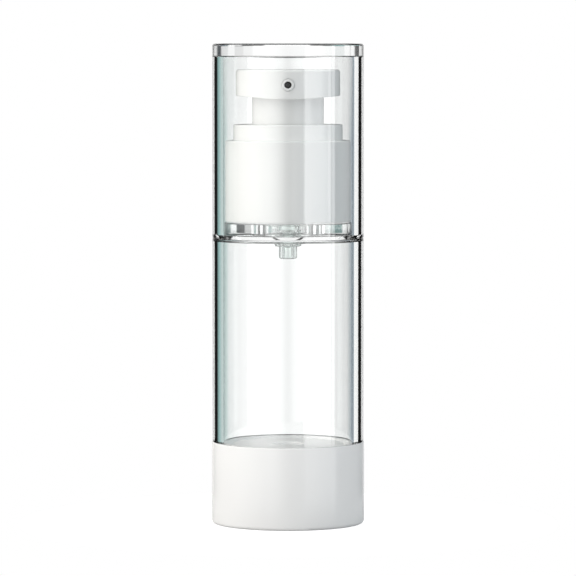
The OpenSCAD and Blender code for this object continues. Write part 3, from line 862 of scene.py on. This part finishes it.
# The same for light that was thrown back once inside a wall
MIRRORED = [
    (-90, 0.2, TEAL), (-66, 0.6, TEAL), (-58, 0.85, PALE_TEAL), (-45, 0.75, PALE_TEAL), (-36, 0.62, TEAL),
    (-31, 0.4, TEAL), (-27, 0, TEAL), (-14, 0, TEAL), (-12, 1.3, WHITE), (13, 1.3, WHITE), (15, 0, WHITE),
    (29.5, 0, WHITE), (30.5, 1.2, WHITE), (45, 1.2, WHITE), (47, 0.5, BLUE), (57, 0.45, BLUE),
    (66, 0.4, WHITE), (90, 0.2, TEAL),
]
# The same for light that only glanced off the outside
GRAZED = [
    (-90, 0.03, WHITE), (-28, 0.03, WHITE), (-18, 0.75, WHITE), (18, 0.75, WHITE), (28, 0.03, WHITE),
    (90, 0.03, WHITE),
]
# What opaque plastic gathers, counted from the camera
GATHERED = [
    (-180, 0.56, WHITE), (-112, 0.56, WHITE), (-100, 1.6, WARM), (-40, 1.6, WARM), (-28, 0.54, WHITE),
    (38, 0.46, COOL), (50, 0.69, COOL), (110, 0.69, COOL), (122, 0.56, COOL), (180, 0.56, WHITE),
]
SKYLIGHT = 0.5
DARK = 0.03
# Degrees above the horizon where the panels end in a dark ring, and this in the light overhead
PANEL_RISE = 17
RING_RISE = 31
PANEL_FADE = 3
TOP_LIGHT = 1
# White's share in the light behind, and the degrees of rise where it comes in and of turn where it ends
PALE_SHARE = 0.8
PALE_RISE = (-1.3, -0.3)
PALE_SIDE = (53, 56)
# Surfaces that light passes on its way through one wall, and through both walls of a tube
WALL_PASSES = 2
TUBE_PASSES = 4


def light_behind(graph, path, turn, rise):
    """What a ray shows that leaves the object to the back, by its way through the plastic."""
    passes = path.outputs["Transmission Depth"]
    throws = path.outputs["Glossy Depth"]
    off_tube = graph.calc("ABSOLUTE", graph.calc("SUBTRACT", passes, TUBE_PASSES))
    light = graph.tint(graph.over(off_tube, 1), graph.sweep(turn, BACK), graph.sweep(turn, SOLID))
    above = graph.spread(rise, 0, PALE_SHARE, *map(math.radians, PALE_RISE))
    beside = graph.spread(graph.calc("ABSOLUTE", turn), 1, 0, *map(math.radians, PALE_SIDE))
    light = graph.tint(graph.calc("MULTIPLY", above, beside), light, WHITE)
    thrown = graph.calc("MULTIPLY", graph.at_most(passes, TUBE_PASSES), graph.over(throws, 0))
    light = graph.tint(thrown, light, grey(DARK))
    once = graph.calc("MULTIPLY", graph.at_most(passes, WALL_PASSES), graph.exactly(throws, 1))
    light = graph.tint(once, light, graph.sweep(turn, MIRRORED))
    return graph.tint(graph.at_most(passes, 0), light, graph.sweep(turn, GRAZED))


def studio_world(yaw):
    """Soft panels at both sides of the camera, a bright wall behind the object, dark gaps between them.

    They keep their place beside the camera, as round a turntable. The camera itself sees plain white.
    """
    world = bpy.data.worlds.new("studio")
    bpy.context.scene.world = world
    world.cycles.sampling_method = "NONE"
    world.use_nodes = True
    graph = Graph(world.node_tree)
    coords = graph.nodes.new("ShaderNodeTexCoord")
    coords.object = yaw
    direction = graph.nodes.new("ShaderNodeVectorMath")
    direction.operation = "NORMALIZE"
    graph.plug(direction.inputs[0], coords.outputs["Object"])
    split = graph.nodes.new("ShaderNodeSeparateXYZ")
    graph.plug(split.inputs["Vector"], direction.outputs["Vector"])
    x, y, z = split.outputs
    azimuth = graph.calc("ARCTAN2", x, graph.calc("MULTIPLY", y, -1))
    turn = graph.calc("ARCTAN2", x, y)
    rise = graph.calc("ARCSINE", z)
    path = graph.nodes.new("ShaderNodeLightPath")
    scatters = path.outputs["Diffuse Depth"]
    behind = light_behind(graph, path, turn, rise)
    light = graph.tint(graph.calc("GREATER_THAN", y, 0), graph.sweep(azimuth, FRONT), behind)
    for start, strength in ((PANEL_RISE, DARK), (RING_RISE, TOP_LIGHT)):
        fade = graph.spread(rise, 0, 1, math.radians(start), math.radians(start + PANEL_FADE))
        light = graph.tint(fade, light, grey(strength))
    light = graph.tint(graph.over(scatters, 0), light, graph.sweep(azimuth, GATHERED))
    sky = graph.calc("MULTIPLY", graph.calc("MAXIMUM", z, 0), graph.calc("MULTIPLY", scatters, SKYLIGHT))
    painted = graph.nodes.new("ShaderNodeBackground")
    graph.plug(painted.inputs["Color"], light)
    graph.plug(painted.inputs["Strength"], graph.calc("ADD", 1, graph.calc("MINIMUM", sky, SKYLIGHT)))
    plain = graph.nodes.new("ShaderNodeBackground")
    graph.plug(plain.inputs["Color"], WHITE)
    mix = graph.nodes.new("ShaderNodeMixShader")
    graph.plug(mix.inputs["Fac"], path.outputs["Is Camera Ray"])
    graph.plug(mix.inputs[1], painted.outputs[0])
    graph.plug(mix.inputs[2], plain.outputs[0])
    output = graph.nodes.new("ShaderNodeOutputWorld")
    graph.plug(output.inputs["Surface"], mix.outputs[0])


# Floor: a plain pale disc, which shows as white as the air, also through the clear plastic
FLOOR_R = 60
FLOOR_GREY = 0.5
FLOOR_ROUGH = 0.7
FLOOR_GLOW = 0.8


def floor_paint(name):
    """Matt paint that glows only for rays that nothing threw back or scattered on their way."""
    material, graph, shader = new_material(name)
    shader.inputs["Base Color"].default_value = (*grey(FLOOR_GREY), 1)
    shader.inputs["Roughness"].default_value = FLOOR_ROUGH
    shader.inputs["Emission Color"].default_value = (*WHITE, 1)
    path = graph.nodes.new("ShaderNodeLightPath")
    turned = graph.calc("ADD", path.outputs["Diffuse Depth"], path.outputs["Glossy Depth"])
    graph.plug(shader.inputs["Emission Strength"], graph.spread(turned, FLOOR_GLOW, 0, 0, 1))
    return material


angles = [2 * math.pi * k / SECTORS for k in range(SECTORS)]
rim = [(FLOOR_R * MM * math.cos(angle), FLOOR_R * MM * math.sin(angle), 0) for angle in angles]
floor_mesh = bpy.data.meshes.new("floor")
floor_mesh.from_pydata(rim, [], [range(SECTORS)])
floor_mesh.materials.append(floor_paint("floor_white"))
floor = add("floor", floor_mesh)

# Camera at the photograph's viewing angle
AIM_Z = 52.5
CAMERA_Z = 105
DISTANCE = 890
CLIP_START = 10
LENS = 249.5
SENSOR = 36
camera = bpy.data.objects.new("camera", bpy.data.cameras.new("camera"))
bpy.context.scene.collection.objects.link(camera)
bpy.context.scene.camera = camera
camera.data.sensor_width = SENSOR
camera.data.lens = LENS
camera.data.clip_start = CLIP_START * MM
aim = Vector((0, 0, AIM_Z * MM))
rise = math.asin((CAMERA_Z - AIM_Z) / DISTANCE)
camera.location = aim + DISTANCE * MM * Vector((0, -math.cos(rise), math.sin(rise)))
camera.rotation_euler = (aim - camera.location).to_track_quat("-Z", "Y").to_euler()

# The studio turns with the camera, but doesn't tilt with it
yaw = bpy.data.objects.new("studio_yaw", None)
bpy.context.scene.collection.objects.link(yaw)
turn_with = yaw.constraints.new("COPY_ROTATION")
turn_with.target = camera
turn_with.use_x = False
turn_with.use_y = False
studio_world(yaw)

scene = bpy.context.scene
scene.view_settings.view_transform = "Standard"
scene.view_settings.look = "None"
scene.cycles.max_bounces = 24
scene.cycles.transmission_bounces = 24
scene.cycles.glossy_bounces = 12
scene.cycles.diffuse_bounces = 4
scene.cycles.blur_glossy = 0
